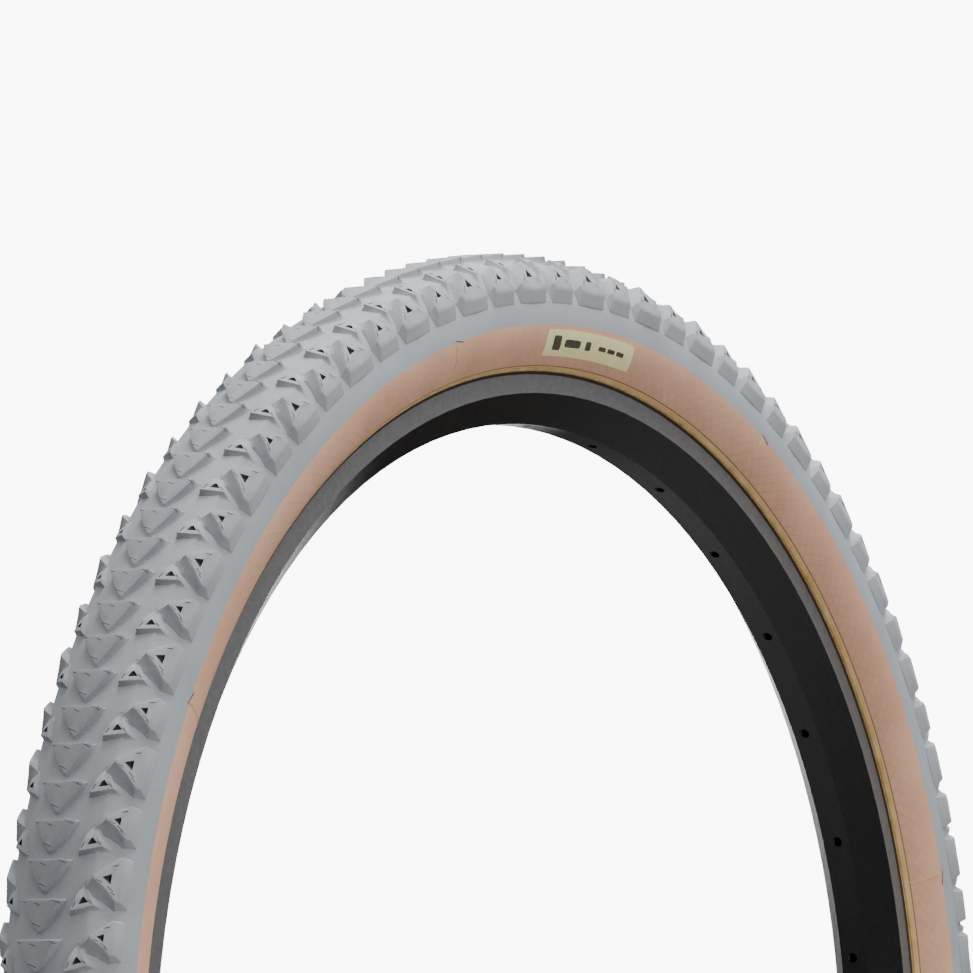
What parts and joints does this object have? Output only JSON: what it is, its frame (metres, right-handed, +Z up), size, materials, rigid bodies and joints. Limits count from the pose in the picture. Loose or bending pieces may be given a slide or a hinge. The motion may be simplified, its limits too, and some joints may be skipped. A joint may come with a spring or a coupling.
{
  "type": "bicycle tyre on a bare rim",
  "caption": "Off-road bicycle tyre with a grey block tread and tan side walls, inflated on a bare black rim with a slim valve.",
  "frame": {"origin": "the wheel's centre, on the axle line and in the mid-plane of the tyre", "axes": "the axle line is Y, with the labelled side facing -Y; +Z is up; the valve points in from the bottom of the wheel"},
  "size_m": [0.6978, 0.054, 0.698],
  "materials": {
    "rim_alloy": "satin black anodised",
    "sleeve_alloy": "plain",
    "tape_cloth": "woven cloth",
    "tube_rubber": "matt",
    "stem_brass": "plated thread",
    "nut_steel": "knurled",
    "core_brass": "machined",
    "cap_plastic": "ribbed",
    "bead_cord": "aramid bundle",
    "casing_cord": "rubbered cord",
    "gold_strip": "satin",
    "tan_rubber": "thin rubber over diagonal cord",
    "belt_cloth": "rubbered cord",
    "tread_rubber": "matt moulded",
    "label_film": "printed film"
  },
  "bodies": {
    "wheel": {"rim": "rim_alloy", "rim_joint_sleeve": "sleeve_alloy", "rim_tape": "tape_cloth", "inner_tube": "tube_rubber", "valve_patch": "tube_rubber", "valve_stem": "stem_brass", "valve_core": "core_brass", "bead_core_front": "bead_cord", "bead_core_back": "bead_cord", "casing_ply_inner": "casing_cord", "casing_ply_outer": "casing_cord", "bead_strip_front": "gold_strip", "bead_strip_back": "gold_strip", "sidewall_front": "tan_rubber", "sidewall_back": "tan_rubber", "breaker_belt": "belt_cloth", "tread_base": "tread_rubber", "centre_knobs": "tread_rubber", "transition_knobs_front": "tread_rubber", "transition_knobs_back": "tread_rubber", "shoulder_knobs_front": "tread_rubber", "shoulder_knobs_back": "tread_rubber", "size_label": "label_film"},
    "rim_nut": {"rim_nut": "nut_steel"},
    "pin": {"valve_pin": "core_brass", "valve_seal": "tube_rubber"},
    "lock_nut": {"lock_nut": "core_brass"},
    "dust_cap": {"dust_cap": "cap_plastic"}
  },
  "joints": [
    {"name": "rim_nut_slide", "type": "slide", "parent": "wheel", "child": "rim_nut", "axis": [-0.098, 0, 0.9952], "range_m": [0, 0.012]},
    {"name": "pin_press", "type": "slide", "parent": "wheel", "child": "pin", "axis": [0.098, 0, -0.9952], "range_m": [0, 0.0014], "stiffness_N_per_m": 400, "springref_m": -0.0005},
    {"name": "lock_nut_slide", "type": "slide", "parent": "pin", "child": "lock_nut", "axis": [0.098, 0, -0.9952], "range_m": [-0.0004, 0.0013]},
    {"name": "dust_cap_slide", "type": "slide", "parent": "wheel", "child": "dust_cap", "axis": [-0.098, 0, 0.9952], "range_m": [0, 0.018]}
  ]
}
